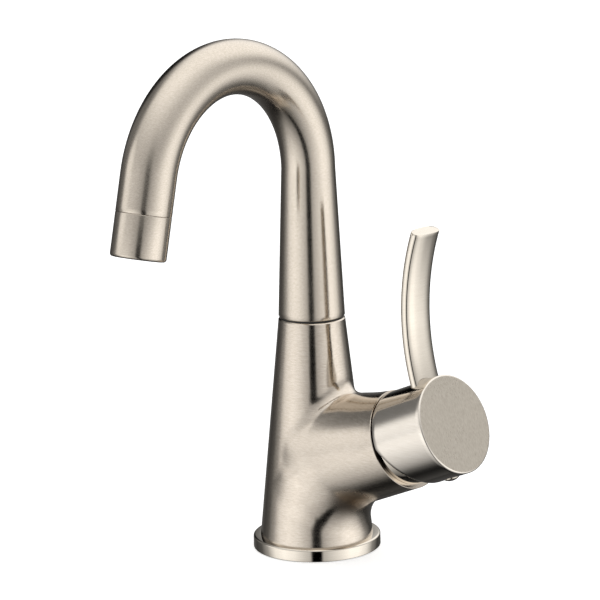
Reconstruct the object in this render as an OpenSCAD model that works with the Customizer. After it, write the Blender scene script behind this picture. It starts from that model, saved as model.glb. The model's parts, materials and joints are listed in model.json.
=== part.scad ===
// Single-lever basin mixer with a swivelling gooseneck spout and a side handle.
// The origin is the centre of the base ring's underside, on the deck. The spout
// points along -Y and the handle boss leans out along +X. Sizes are millimetres.

/* [Base] */
// Outer diameter of the base ring
base_d = 60; // [58:0.5:66]
// Height of the base ring
base_h = 5.8; // [5:0.1:8]

/* [Body] */
// Diameter of the body where it stands on the base ring
foot_d = 53; // [52:0.5:55]
// Diameter of the body and the spout at the swivel joint
joint_d = 31; // [30:0.5:34]
// Height of the swivel joint above the deck
joint_z = 110.5; // [108:0.5:125]
// Radius of the fillet above the boss
top_fillet = 8; // [6:0.5:10]
// Radius of the fillet below the boss
low_fillet = 8; // [6:0.5:9]

/* [Handle boss] */
// Lean of the boss above the horizontal, in degrees
boss_tilt = 22.4; // [20:0.2:25]
// Lean of the line along the top of the boss above the horizontal, in degrees
top_lean = 9.5; // [8:0.5:14]
// Distance of the centre of the boss rim from the body's axis
boss_x = 55.6; // [55:0.2:60]
// Height of the centre of the boss rim above the deck
boss_z = 59.7; // [58:0.1:61]
// Outer diameter of the boss at its rim
boss_d = 45.8; // [45.6:0.2:50]

/* [Cartridge] */
// Outer diameter of the ceramic cartridge
cartridge_d = 35; // [34:0.5:35]
// Height of the cartridge from its seat to its shoulder
cartridge_h = 24; // [24:0.5:26]

/* [Handle] */
// Outer diameter of the handle hub
hub_d = 46; // [46:0.2:50]
// Distance of the hub's flat face from the boss rim
hub_reach = 31.4; // [30.4:0.1:34]
// Angle that the lever tilts from closed to fully open
lever_travel = 25; // [15:1:26]
// Length of the lever blade beyond the hub, along its curve
lever_len = 70.6; // [50:0.2:90]
// Width of the lever blade
lever_w = 17.4; // [12:0.2:20]
// Thickness of the lever blade
lever_t = 6.4; // [5:0.2:8]
// Radius that the lever blade bends to
lever_bend = 111; // [90:1:160]
// Outward lean of the blade where it leaves the hub, in degrees
lever_lean = 5.8; // [3:0.2:10]

/* [Spout] */
// Height of the spout's tapered column, from the joint to the arch
column_h = 70; // [50:1:90]
// Diameter of the bent tube
tube_d = 25; // [24.8:0.1:26]
// Radius of the arch, at the middle of the tube
arch_r = 53.2; // [45:0.2:70]
// Angle that the outlet leans outwards, in degrees
outlet_lean = 13.4; // [0:0.2:20]
// Straight length between the arch and the aerator
outlet_run = 17.3; // [14:0.1:25]
// Visible length of the aerator sleeve
sleeve_len = 19.7; // [18.5:0.1:24]

/* [Hidden] */
$fn = 96;

// Clearances
thread_gap = 0.05;
run_gap = 0.05;
seal_gap = 0.02;
part_gap = 0.1;
loose_gap = 0.3;
free_gap = 0.35;
past = 1;

// Finishes
satin = "#b5aca0";
bright = "#d9d4cc";
brass = "#b8933f";
rubber = "#202020";
ceramic = "#f1efe9";
plastic = "#e4e2dc";
dark_plastic = "#33363a";
steel = "#9fa3a8";

// Base ring
base_r = base_d / 2;
ring_w = 6;
ledge_w = 2.5;
ring_bore_r = min(base_r - ring_w, foot_d / 2 - ledge_w);
ring_round = 0.9;
gasket_inset = 1.2;
gasket_outset = 1.6;
gasket_in_r = ring_bore_r + gasket_inset;
gasket_out_r = base_r - gasket_outset;
gasket_h = 2;

// Body
foot_r = foot_d / 2;
joint_r = joint_d / 2;
foot_z = 0;
bearing_h = 0.8;
bearing_inset = 0.8;
body_top = joint_z - bearing_h / 2;
spout_z = body_top + bearing_h + run_gap;
cone_angle = atan((foot_r - joint_r) / (joint_z - base_h));
function cone_r(z) = foot_r - (z - base_h) * tan(cone_angle);
edge_chamfer = 0.5;
bar_sink = 0.15;
top_bar_wider = 2.5;
bar_slimmer = 1.9;

// Water ways in the body
port_x = 4;
port_y = 9.5;
port_r = 4.5;
port_deep = 13;
stud_x = -11;
stud_r = 3.4;
stud_deep = 14;
way_r = 2.6;
way_bite = 0.5;
lead_r = 3.2;
lead_len = 4;
lead_turn = 1.5;
outlet_way = 27;
shell = 4.5;
throat_r = 9;
neck_len = 2;
throat_z = 26;
chamber_z = 44;

// Swivel joint
swivel_gap = 0.15;
socket_r = 11;
socket_deep = 22;
socket_z = body_top - socket_deep;
tail_r = socket_r - swivel_gap;
tail_bore_r = 7.8;
tail_screw_r = 11.6;
tail_screw_len = 12.5;
tail_lift = 1;
seal_r = 0.88;
seal_groove_h = 2.4;
seal_groove_deep = 1.7;
seal_pitch = 6;
lower_seal_z = socket_z + seal_pitch;
upper_seal_z = lower_seal_z + seal_pitch;
lock_drop = 4;
lock_z = body_top - lock_drop;
lock_groove_deep = 1.35;
lock_groove_r = tail_r - lock_groove_deep;
lock_groove_h = 4.4;
lock_r = 2.45;
lock_tip_r = 1.9;
lock_key = 2.5;
key_deep = 2.2;
lock_sunk = 0.5;
lock_play = 0.4;

// Handle boss and cartridge, measured along the boss axis from the rim
boss_r = boss_d / 2;
rim_thread_r = 20;
chamber_r = cartridge_d / 2 + 2 * part_gap;
shoulder = -5.5;
seat = shoulder - cartridge_h;
base_t = 4.5;
disc_t = 4.4;
fixed_s = seat + base_t;
moving_s = fixed_s + disc_t + run_gap;
carrier_s = moving_s + disc_t + part_gap;
carrier_t = 4.8;
plate_t = 2.7;
case_r = cartridge_d / 2;
case_wall = 1.9;
case_bore_r = case_r - case_wall;
neck_r = 12.7;
neck_bore_r = 10.95;
neck_top = 5;
fixed_disc_gap = 0.5;
fixed_disc_r = case_bore_r - fixed_disc_gap;
slide_disc_r = 12.4;
pocket_r = 6.4;
pocket_tail_r = 4.9;
pocket_x = 3;
pocket_deep = 2.4;
inlet_t = 4.2;
inlet_y = 6.6;
inlet_r = 2.6;
outlet_t = -6.5;
outlet_r = 3.6;
peg_r = 1.6;
peg_y = 13.6;
peg_len = 2.2;
port_seal_w = 1.4;
port_seal_h = 1.2;

// Guide, stem and carrier
guide_flange_t = 2.4;
guide_flange_s = shoulder - plate_t - loose_gap - guide_flange_t;
guide_flange_gap = 0.4;
guide_flange_r = case_bore_r - guide_flange_gap;
rail_gap = 0.25;
guide_r = neck_bore_r - rail_gap;
guide_proud = 1;
guide_top = neck_top + guide_proud;
slot_y = 4.2;
slot_x = 8.3;
pin_r = 1.5;
pin_len = 19;
ball_r = 2.4;
finger_r = 1.9;
ball_drop = 1.2;
ball_s = carrier_s + carrier_t - ball_drop;
socket_hole_r = ball_r + 2 * part_gap;
slide = -ball_s * sin(lever_travel);
rail_y = 9;
rail_w = 3;
rail_len = 14;
tongue_len = 12;
tongue_bite = 0.5;
carrier_disc_t = 2.5;
step_s = carrier_s + carrier_disc_t;
stem_w = 7;
stem_top = 24;
eye_r = 4;

// Nut, dome and hub
nut_bore_r = neck_r + loose_gap;
nut_head_r = 18.2;
nut_head_h = 3.6;
nut_notch_w = 4;
nut_notch_deep = 2.4;
nut_notch_h = 1.4;
grip_groove_r = 16.9;
grip_groove_s = 0.9;
grip_groove_h = 1.9;
grip_r = 0.75;
hub_r = hub_d / 2;
hub_wall = 1.65;
skirt_r = hub_r - hub_wall;
dome_r = skirt_r - free_gap;
dome_wall = 1.3;
dome_top = 12.6;
dome_lip_r = nut_head_r + loose_gap;
dome_lip_h = nut_head_h + loose_gap;
hub_gap = 1.2;
hub_face_t = 3;
hub_chamfer = 0.7;
hub_post_r = 7.5;
hub_post_s = 11;
plug_s = 19.6;
plug_r = 3.4;
plug_proud = 1.2;
plug_deep = 0.6;
plug_cap_r = 6;
screw_r = 2.45;
screw_key = 2.5;

// Lever
blade_s = 22;
blade_square = 2.8;
post_wall = 2;
lever_stud_r = 2.5;
lever_stud_gap = 1;
blade_bite = 1;
stud_hole_r = lever_stud_r + thread_gap;
blade_boss_r = 4;
blade_arc = lever_len / lever_bend * 180 / PI;
blade_root_arc = 6;

// Spout
tube_r = tube_d / 2;
tube_wall = 1.9;
tube_bore_r = tube_r - tube_wall;
arch_z = joint_z + column_h;
arch_angle = 180 - outlet_lean;
outlet_thread_r = 11;
outlet_thread_len = 8.5;
turned_step = 0.05;
turned_r = tube_r + turned_step;
lap = 1;

// Aerator, measured down the outlet from the seam
sleeve_round = 1.4;
spigot_len = 6.8;
sleeve_bore_r = 9.75;
sleeve_lip_r = 8.9;
sleeve_lip_t = 1.8;
insert_s = 3;
screen_t = 0.7;
screen_hole_r = 0.95;
screen_pitch = 2.55;
insert_end = sleeve_len - sleeve_lip_t - screen_t;
insert_r = sleeve_bore_r - part_gap;
insert_wall = 1.5;
insert_plate_t = 1.6;
jet_count = 12;
jet_ring_r = 5.6;
jet_r = 0.7;
washer_bore_r = 8.4;
cup_r = 11;
cup_wall = 0.6;
cup_rim_t = 0.8;
cup_rim_in = 0.8;
cup_rim_out = 0.6;
cup_edge_r = sleeve_bore_r - 2 * part_gap - cup_rim_out;
cup_s = insert_s - cup_rim_t / 2 + sqrt(cup_r * cup_r - cup_edge_r * cup_edge_r);

// Points and places

// A point in the plane of the boss: s along its axis from the rim, t upwards across it, y as in the frame.
function boss_point(s, t, y) = [
    boss_x + s * cos(boss_tilt) - t * sin(boss_tilt), y,
    boss_z + s * sin(boss_tilt) + t * cos(boss_tilt)
];

// Puts the boss axis on Z, with the rim at 0. Up across the boss is then -X.
module on_boss() {
    translate([boss_x, 0, boss_z]) rotate([0, 90 - boss_tilt, 0]) children();
}

// Puts the water's way out of the arch on Z, with the end of the arch at 0.
module at_outlet() {
    translate([0, -arch_r, arch_z]) rotate([90, 0, 90]) rotate([0, 0, arch_angle])
        translate([arch_r, 0, 0]) rotate([-90, 0, 0]) children();
}

// Puts the seam above the aerator at 0.
module at_seam() {
    at_outlet() translate([0, 0, outlet_run]) children();
}

// A round rod from one point to another.
module rod(a, b, r) {
    v = b - a;
    translate(a) rotate([0, acos(v[2] / norm(v)), atan2(v[1], v[0])]) cylinder(h = norm(v), r = r);
}

// A washer or sleeve standing on z.
module ring(z, h, r_in, r_out) {
    translate([0, 0, z]) rotate_extrude() translate([r_in, 0]) square([r_out - r_in, h]);
}

// A seal of round section.
module o_ring(z, r_mid, r) {
    translate([0, 0, z]) rotate_extrude() translate([r_mid, 0]) circle(r, $fn = 32);
}

// A headless screw that starts at 0 with a hexagon socket in its far end.
module grub_screw(len, r, key) {
    difference() {
        cylinder(h = len, r = r);
        translate([0, 0, len - key_deep]) cylinder(h = key_deep + past, d = key / cos(30), $fn = 6);
    }
}

// Base

module base_ring() {
    color(bright) difference() {
        rotate_extrude() union() {
            translate([ring_bore_r, 0]) square([base_r - ring_bore_r, base_h - ring_round]);
            translate([ring_bore_r, 0]) square([base_r - ring_round - ring_bore_r, base_h]);
            translate([base_r - ring_round, base_h - ring_round]) circle(ring_round, $fn = 32);
        }
        ring(-past, gasket_h + past, gasket_in_r, gasket_out_r);
    }
}

module base_gasket() {
    color(rubber) ring(0, gasket_h, gasket_in_r + thread_gap, gasket_out_r - thread_gap);
}

// Body

// The bend of a round bar about the Y direction, from angle a to angle b in the XZ plane.
// Its inner side lies a hair under the two surfaces that it joins, so both ends are buried.
module saddle(centre, fillet, bar_r, a, b) {
    translate([centre[0], 0, centre[1]]) rotate([90, 0, 0]) rotate([0, 0, a])
        rotate_extrude(angle = b - a) translate([fillet + bar_sink + bar_r, 0]) circle(bar_r);
}

// Centre of a fillet that touches the cone's right side, on the line that leans by lean and lies
// at the given height square to it from the origin.
function fillet_centre(fillet, lean, height) =
    let (
        over_cone = foot_r * cos(cone_angle) + base_h * sin(cone_angle) + fillet,
        det = cos(lean - cone_angle)
    ) [
        (over_cone * cos(lean) - height * sin(cone_angle)) / det,
        (height * cos(cone_angle) + over_cone * sin(lean)) / det
    ];

module body_outside() {
    cylinder_from = -boss_x / cos(boss_tilt);
    bar_r = boss_r - bar_slimmer;
    rim_top = boss_point(-edge_chamfer, boss_r - bar_sink, 0);
    bar_end = rim_top + bar_r * [sin(top_lean), 0, -cos(top_lean)];
    top_height = rim_top[2] * cos(top_lean) - rim_top[0] * sin(top_lean);
    axis_height = boss_z * cos(boss_tilt) - boss_x * sin(boss_tilt);
    union() {
        translate([0, 0, base_h]) cylinder(h = body_top - base_h - edge_chamfer,
            r1 = foot_r, r2 = cone_r(body_top - edge_chamfer));
        translate([0, 0, body_top - edge_chamfer]) cylinder(h = edge_chamfer,
            r1 = cone_r(body_top - edge_chamfer), r2 = cone_r(body_top) - edge_chamfer);
        translate([0, 0, foot_z]) cylinder(h = base_h - foot_z, r = ring_bore_r - thread_gap);
        on_boss() {
            translate([0, 0, cylinder_from]) cylinder(h = -cylinder_from - edge_chamfer, r = boss_r);
            translate([0, 0, -edge_chamfer])
                cylinder(h = edge_chamfer, r1 = boss_r, r2 = boss_r - edge_chamfer);
        }
        // Bar that makes the boss's upper side flatter than its axis
        rod([0, 0, bar_end[2] - bar_end[0] * tan(top_lean)], bar_end, bar_r);
        saddle(fillet_centre(top_fillet, top_lean, top_height + top_fillet), top_fillet,
            joint_r + top_bar_wider, 180 + cone_angle, 270 + top_lean);
        saddle(fillet_centre(low_fillet, boss_tilt, axis_height - boss_r - low_fillet), low_fillet,
            bar_r, 90 + boss_tilt, 180 + cone_angle);
    }
}

module body_water_ways() {
    for (side = [-1, 1]) {
        translate([port_x, side * port_y, foot_z - past]) cylinder(h = port_deep + past, r = port_r);
        translate([port_x, side * port_y, foot_z + port_deep - past])
            cylinder(h = lead_len + past, r = lead_r);
        rod([port_x, side * port_y, foot_z + port_deep + lead_turn],
            boss_point(seat + way_bite, inlet_t, side * inlet_y), way_r);
    }
    rod(boss_point(seat + way_bite, outlet_t, 0), boss_point(seat - outlet_way, outlet_t, 0), outlet_r);
    translate([0, 0, throat_z]) cylinder(h = chamber_z - throat_z + past, r = throat_r);
    translate([0, 0, chamber_z]) cylinder(h = socket_z - neck_len - chamber_z,
        r1 = cone_r(chamber_z) - shell, r2 = cone_r(socket_z) - shell);
    translate([0, 0, socket_z - neck_len - past]) cylinder(h = neck_len + 2 * past, r = throat_r);
}

module body() {
    color(satin) difference() {
        body_outside();
        body_water_ways();
        // Socket for the spout's tail, and the tapped hole of the screw that holds it
        translate([0, 0, socket_z]) cylinder(h = socket_deep + past, r = socket_r);
        translate([0, 0, lock_z]) rotate([-90, 0, 0]) cylinder(h = joint_r + past, r = lock_r + thread_gap);
        // Tapped hole of the fixing stud
        translate([stud_x, 0, foot_z - past]) cylinder(h = stud_deep + past, r = stud_r);
        // Cartridge chamber, thread of the nut and holes for the cartridge's pegs
        on_boss() {
            translate([0, 0, seat]) cylinder(h = past - seat, r = chamber_r);
            translate([0, 0, shoulder]) cylinder(h = past - shoulder, r = rim_thread_r);
            for (side = [-1, 1])
                translate([0, side * peg_y, seat - peg_len - free_gap])
                    cylinder(h = peg_len + past, r = peg_r + part_gap);
        }
    }
}

// Cartridge

module port_holes(z, h, r_in, r_out) {
    for (side = [-1, 1]) translate([-inlet_t, side * inlet_y, z]) cylinder(h = h, r = r_in);
    translate([-outlet_t, 0, z]) cylinder(h = h, r = r_out);
}

module cartridge_base() {
    color(dark_plastic) on_boss() difference() {
        union() {
            translate([0, 0, seat]) cylinder(h = base_t, r = case_r - part_gap);
            for (side = [-1, 1])
                translate([0, side * peg_y, seat - peg_len]) cylinder(h = peg_len + past, r = peg_r);
        }
        port_holes(seat - past, base_t + 2 * past, inlet_r, outlet_r);
        port_holes(seat - past, port_seal_h + past, inlet_r + port_seal_w, outlet_r + port_seal_w);
    }
}

module cartridge_seals() {
    color(rubber) on_boss() difference() {
        port_holes(seat, port_seal_h, inlet_r + port_seal_w - thread_gap,
            outlet_r + port_seal_w - thread_gap);
        port_holes(seat - past, port_seal_h + 2 * past, inlet_r, outlet_r);
    }
}

module fixed_disc() {
    color(ceramic) on_boss() difference() {
        translate([0, 0, fixed_s]) cylinder(h = disc_t, r = fixed_disc_r);
        port_holes(fixed_s - past, disc_t + 2 * past, inlet_r, outlet_r);
    }
}

// The upper disc stands half its slide below the middle when the tap is closed. Its mixing
// pocket then covers the outlet alone.
module moving_disc() {
    color(ceramic) on_boss() translate([slide / 2, 0, moving_s]) difference() {
        cylinder(h = disc_t, r = slide_disc_r);
        translate([pocket_x - slide / 2, 0, -past]) cylinder(h = pocket_deep + past, r = pocket_r);
        translate([-outlet_t - slide / 2, 0, -past])
            cylinder(h = pocket_deep + past, r = pocket_tail_r);
    }
}

module disc_carrier() {
    color(plastic) on_boss() difference() {
        union() {
            translate([slide / 2, 0, moving_s + disc_t])
                cylinder(h = step_s - moving_s - disc_t, r = slide_disc_r);
            translate([-tongue_len / 2, rail_gap - rail_y, step_s - tongue_bite])
                cube([tongue_len, 2 * (rail_y - rail_gap), carrier_s + carrier_t - step_s + tongue_bite]);
        }
        translate([0, 0, ball_s - ball_r - loose_gap])
            cylinder(h = carrier_s + carrier_t + past - ball_s + ball_r + loose_gap, r = socket_hole_r);
    }
}

module cartridge_housing() {
    color(plastic) on_boss() union() {
        ring(fixed_s, shoulder - fixed_s - plate_t, case_bore_r, case_r);
        ring(shoulder - plate_t, plate_t, neck_bore_r, case_r);
        ring(shoulder, neck_top - shoulder, neck_bore_r, neck_r);
    }
}

module guide_collar() {
    color(dark_plastic) on_boss() difference() {
        union() {
            translate([0, 0, guide_flange_s]) cylinder(h = guide_flange_t, r = guide_flange_r);
            translate([0, 0, guide_flange_s]) cylinder(h = guide_top - guide_flange_s, r = guide_r);
            for (side = [-1, 1])
                translate([-rail_len / 2, side * (rail_y + rail_w / 2) - rail_w / 2, step_s + rail_gap])
                    cube([rail_len, rail_w, guide_flange_s - step_s]);
        }
        translate([-slot_x, -slot_y, guide_flange_s - past])
            cube([2 * slot_x, 2 * slot_y, guide_top - guide_flange_s + 2 * past]);
        rotate([90, 0, 0]) translate([0, 0, -guide_flange_r]) cylinder(h = 2 * guide_flange_r, r = pin_r);
    }
}

module pivot_pin() {
    color(steel) on_boss() rotate([90, 0, 0]) translate([0, 0, -pin_len / 2])
        cylinder(h = pin_len, r = pin_r);
}

// Nut and cover dome

module cartridge_nut() {
    color(brass) on_boss() difference() {
        union() {
            ring(shoulder, -shoulder, nut_bore_r, rim_thread_r - thread_gap);
            ring(0, nut_head_h, nut_bore_r, nut_head_r);
        }
        ring(grip_groove_s, grip_groove_h, grip_groove_r, nut_head_r + past);
        for (turn = [0 : 60 : 300]) rotate([0, 0, turn])
            translate([nut_bore_r - past, -nut_notch_w / 2, nut_head_h - nut_notch_h])
                cube([nut_notch_deep + past, nut_notch_w, nut_notch_h + past]);
    }
}

module dome_o_ring() {
    color(rubber) on_boss()
        o_ring(grip_groove_s + grip_groove_h / 2, grip_groove_r + grip_r + seal_gap, grip_r);
}

module cover_dome() {
    color(bright) on_boss() rotate_extrude() union() {
        intersection() {
            difference() {
                circle(dome_r);
                circle(dome_r - dome_wall);
            }
            square([dome_r + past, dome_top]);
        }
        intersection() {
            circle(dome_r - dome_wall / 2);
            translate([dome_lip_r, 0]) square([dome_r - dome_lip_r, dome_lip_h]);
        }
    }
}

// Handle

module lever_stem() {
    color(steel) on_boss() difference() {
        union() {
            translate([-stem_w / 2, -stem_w / 2, 0]) cube([stem_w, stem_w, stem_top]);
            rotate([90, 0, 0]) translate([0, 0, loose_gap - slot_y])
                cylinder(h = 2 * (slot_y - loose_gap), r = eye_r);
            translate([0, 0, ball_s]) cylinder(h = -ball_s, r = finger_r);
            translate([0, 0, ball_s]) sphere(ball_r);
        }
        rotate([90, 0, 0]) translate([0, 0, -slot_y - past])
            cylinder(h = 2 * slot_y + 2 * past, r = pin_r + run_gap);
    }
}

module handle_hub() {
    color(satin) on_boss() difference() {
        union() {
            ring(hub_gap, hub_reach - hub_gap - hub_face_t, skirt_r, hub_r);
            translate([0, 0, hub_reach - hub_face_t]) cylinder(h = hub_face_t - hub_chamfer, r = hub_r);
            translate([0, 0, hub_reach - hub_chamfer])
                cylinder(h = hub_chamfer, r1 = hub_r, r2 = hub_r - hub_chamfer);
            translate([0, 0, hub_post_s])
                cylinder(h = hub_reach - hub_face_t - hub_post_s, r = hub_post_r);
            translate([0, 0, blade_s]) rotate([0, -90, 0])
                cylinder(h = skirt_r + hub_wall / 2, r = blade_boss_r);
        }
        // Slanted cut that lets the skirt clear the boss when the lever opens
        translate([0, 0, hub_gap]) rotate([0, -lever_travel, 0])
            translate([0, -hub_r - past, -2 * hub_r]) cube([2 * hub_r, 2 * hub_r + 2 * past, 2 * hub_r]);
        // Square socket of the stem
        translate([-stem_w / 2 - thread_gap, -stem_w / 2 - thread_gap, hub_post_s - past])
            cube([stem_w + 2 * thread_gap, stem_w + 2 * thread_gap, stem_top - hub_post_s + past]);
        // Hole of the lever's stud
        translate([0, 0, blade_s]) rotate([0, -90, 0]) translate([0, 0, stem_w / 2 + post_wall])
            cylinder(h = hub_r, r = stud_hole_r);
        // Tapped hole of the set screw and the index plug's hole in line with it
        translate([0, 0, plug_s]) rotate([0, 90, 0]) {
            cylinder(h = hub_post_r + past, r = screw_r + thread_gap);
            translate([0, 0, skirt_r - past]) cylinder(h = hub_wall + 2 * past, r = plug_r + thread_gap);
        }
    }
}

// The outline of the blade, an oval with fuller shoulders. Its thickness is along X, its width along Y.
function blade_outline(w, t) = [
    for (a = [0 : 10 : 350]) [
        t / 2 * sign(sin(a)) * pow(abs(sin(a)), 2 / blade_square),
        w / 2 * sign(cos(a)) * pow(abs(cos(a)), 2 / blade_square)
    ]
];

module lever_blade() {
    bend_x = -(hub_r - lever_bend * sin(lever_lean));
    bend_s = blade_s + lever_bend * cos(lever_lean);
    color(bright) on_boss() union() {
        difference() {
            translate([bend_x, 0, bend_s]) rotate([-90, 90, 0]) rotate([0, 0, lever_lean - blade_root_arc])
                rotate_extrude(angle = blade_arc + blade_root_arc)
                    translate([lever_bend, 0]) polygon(blade_outline(lever_w, lever_t));
            translate([0, 0, -past]) cylinder(h = 2 * hub_reach, r = hub_r);
        }
        translate([0, 0, blade_s]) rotate([0, -90, 0])
            translate([0, 0, stem_w / 2 + post_wall + lever_stud_gap])
                cylinder(h = hub_r - stem_w / 2 - post_wall + blade_bite, r = lever_stud_r);
    }
}

module handle_set_screw() {
    color(steel) on_boss() translate([stem_w / 2 + thread_gap, 0, plug_s]) rotate([0, 90, 0])
        grub_screw(hub_post_r - stem_w / 2 - loose_gap, screw_r, screw_key);
}

module index_plug() {
    plug_back = skirt_r - plug_deep;
    plug_end = hub_r + plug_proud;
    color(bright) on_boss() translate([0, 0, plug_s]) rotate([0, 90, 0]) intersection() {
        translate([0, 0, plug_back]) cylinder(h = plug_end - plug_back + past, r = plug_r);
        translate([0, 0, plug_end - plug_cap_r]) sphere(plug_cap_r);
    }
}

// Spout

module spout_bearing_ring() {
    color(rubber) ring(body_top, bearing_h, socket_r + loose_gap, joint_r - bearing_inset);
}

module spout_set_screw() {
    tip = lock_groove_r + lock_play;
    color(steel) translate([0, 0, lock_z]) rotate([-90, 0, 0]) union() {
        translate([0, 0, socket_r + part_gap])
            grub_screw(joint_r - lock_sunk - socket_r - part_gap, lock_r, lock_key);
        translate([0, 0, tip]) cylinder(h = socket_r + 2 * part_gap - tip, r = lock_tip_r);
    }
}

module spout_tail() {
    color(brass) difference() {
        union() {
            translate([0, 0, socket_z + tail_lift])
                cylinder(h = spout_z - socket_z - tail_lift, r = tail_r);
            translate([0, 0, spout_z]) cylinder(h = tail_screw_len, r = tail_screw_r - thread_gap);
        }
        translate([0, 0, socket_z])
            cylinder(h = spout_z + tail_screw_len + past - socket_z, r = tail_bore_r);
        for (z = [lower_seal_z, upper_seal_z])
            ring(z - seal_groove_h / 2, seal_groove_h, tail_r - seal_groove_deep, tail_r + past);
        ring(lock_z - lock_groove_h / 2, lock_groove_h, lock_groove_r, tail_r + past);
    }
}

module spout_o_rings() {
    color(rubber) for (z = [lower_seal_z, upper_seal_z]) o_ring(z, socket_r - seal_gap - seal_r, seal_r);
}

// The bent part of the tube, as a bar of radius r.
module arch(r) {
    translate([0, -arch_r, arch_z]) rotate([90, 0, 90]) rotate_extrude(angle = arch_angle)
        translate([arch_r, 0]) circle(r);
}

module spout() {
    color(satin) difference() {
        union() {
            // Tapered column, turned a hair thicker than the arch where they meet
            rotate_extrude() polygon([
                [0, spout_z], [joint_r - edge_chamfer, spout_z], [joint_r, spout_z + edge_chamfer],
                [turned_r, arch_z], [turned_r, arch_z + lap], [0, arch_z + lap]
            ]);
            arch(tube_r);
            // Straight outlet, turned like the top of the column
            at_outlet() rotate_extrude() polygon([
                [0, -lap], [turned_r, -lap], [turned_r, outlet_run - edge_chamfer / 2],
                [turned_r - edge_chamfer / 2, outlet_run], [0, outlet_run]
            ]);
        }
        // Threads of the tail and the aerator
        translate([0, 0, spout_z - past]) cylinder(h = tail_screw_len + past, r = tail_screw_r);
        at_outlet() translate([0, 0, outlet_run - outlet_thread_len])
            cylinder(h = outlet_thread_len + past, r = outlet_thread_r);
        // Bore, a hair narrower where it is drilled than in the arch
        translate([0, 0, spout_z]) cylinder(h = arch_z + lap - spout_z, r = tube_bore_r - turned_step);
        arch(tube_bore_r);
        at_outlet() translate([0, 0, -lap]) cylinder(h = lap + outlet_run, r = tube_bore_r - turned_step);
    }
}

// Aerator

module aerator_sleeve() {
    color(bright) at_seam() rotate_extrude() union() {
        translate([sleeve_bore_r, -spigot_len])
            square([outlet_thread_r - thread_gap - sleeve_bore_r, spigot_len + past]);
        polygon([
            [sleeve_bore_r, 0], [tube_r - edge_chamfer / 2, 0], [tube_r, edge_chamfer / 2],
            [tube_r, sleeve_len - sleeve_round], [tube_r - sleeve_round, sleeve_len - sleeve_round],
            [tube_r - sleeve_round, sleeve_len], [sleeve_lip_r, sleeve_len],
            [sleeve_lip_r, sleeve_len - sleeve_lip_t], [sleeve_bore_r, sleeve_len - sleeve_lip_t]
        ]);
        translate([tube_r - sleeve_round, sleeve_len - sleeve_round]) circle(sleeve_round, $fn = 32);
    }
}

module aerator_washer() {
    color(rubber) at_seam() ring(-outlet_thread_len, outlet_thread_len - spigot_len,
        washer_bore_r, outlet_thread_r - free_gap);
}

// Domed mesh cup above the insert. Its mesh is left plain.
module aerator_strainer() {
    color(steel) at_seam() rotate_extrude() union() {
        intersection() {
            translate([0, cup_s]) difference() {
                circle(cup_r);
                circle(cup_r - cup_wall);
            }
            translate([0, cup_s - cup_r])
                square([cup_edge_r + past, insert_s - cup_rim_t / 2 - cup_s + cup_r]);
        }
        translate([cup_edge_r - cup_rim_in, insert_s - cup_rim_t])
            square([cup_rim_in + cup_rim_out, cup_rim_t]);
    }
}

module aerator_insert() {
    color(plastic) at_seam() difference() {
        translate([0, 0, insert_s]) cylinder(h = insert_end - insert_s, r = insert_r);
        translate([0, 0, insert_s + insert_plate_t])
            cylinder(h = insert_end - insert_s, r = insert_r - insert_wall);
        for (k = [0 : jet_count - 1]) rotate([0, 0, k * 360 / jet_count])
            translate([jet_ring_r, 0, insert_s - past]) cylinder(h = insert_plate_t + 2 * past, r = jet_r);
    }
}

// Outlet grid with holes in rings of six, twelve and eighteen.
module aerator_screen() {
    color(dark_plastic) at_seam() difference() {
        translate([0, 0, insert_end]) cylinder(h = screen_t, r = insert_r);
        translate([0, 0, insert_end - past]) cylinder(h = screen_t + 2 * past, r = screen_hole_r);
        for (row = [1 : 3], k = [0 : row * 6 - 1]) rotate([0, 0, k * 60 / row])
            translate([row * screen_pitch, 0, insert_end - past])
                cylinder(h = screen_t + 2 * past, r = screen_hole_r);
    }
}

base_ring();
base_gasket();
body();
spout_bearing_ring();
spout_set_screw();
cartridge_base();
cartridge_seals();
fixed_disc();
cartridge_housing();
cartridge_nut();
dome_o_ring();
cover_dome();
moving_disc();
disc_carrier();
guide_collar();
pivot_pin();
lever_stem();
handle_hub();
lever_blade();
handle_set_screw();
index_plug();
spout();
spout_tail();
spout_o_rings();
aerator_sleeve();
aerator_washer();
aerator_strainer();
aerator_insert();
aerator_screen();
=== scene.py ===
"""A single-lever basin mixer in warm brushed nickel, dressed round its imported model.
Sizes in the sections are millimetres in the model's own frame: the deck is at z = 0,
the spout reaches along -Y and the handle boss leans out along +X."""

import json
import math

import bmesh
import bpy
import numpy as np
from mathutils import Matrix, Vector


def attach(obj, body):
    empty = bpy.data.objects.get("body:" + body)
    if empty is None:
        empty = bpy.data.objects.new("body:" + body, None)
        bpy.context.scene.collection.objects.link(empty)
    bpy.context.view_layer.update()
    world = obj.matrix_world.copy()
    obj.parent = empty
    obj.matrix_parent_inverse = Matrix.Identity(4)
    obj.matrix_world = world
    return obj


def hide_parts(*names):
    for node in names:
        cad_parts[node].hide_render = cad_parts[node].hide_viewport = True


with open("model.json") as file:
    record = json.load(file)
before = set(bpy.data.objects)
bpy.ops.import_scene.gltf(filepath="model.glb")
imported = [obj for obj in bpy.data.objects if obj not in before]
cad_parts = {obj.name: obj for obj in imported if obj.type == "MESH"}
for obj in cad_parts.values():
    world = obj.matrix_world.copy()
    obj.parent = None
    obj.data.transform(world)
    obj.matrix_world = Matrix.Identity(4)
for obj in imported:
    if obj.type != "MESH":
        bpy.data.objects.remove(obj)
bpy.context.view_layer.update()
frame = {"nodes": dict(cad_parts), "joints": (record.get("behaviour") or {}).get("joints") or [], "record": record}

# Camera
# A long lens stands at the front right of the tap, a little above the arch, and looks down
# on it slightly. The picture is 600 pixels square, and the places here are in metres.
PICTURE = 600
film_width = 36
camera_turn, camera_height, camera_roll = (math.radians(a) for a in (41.48, 12.38, 1.38))
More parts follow.
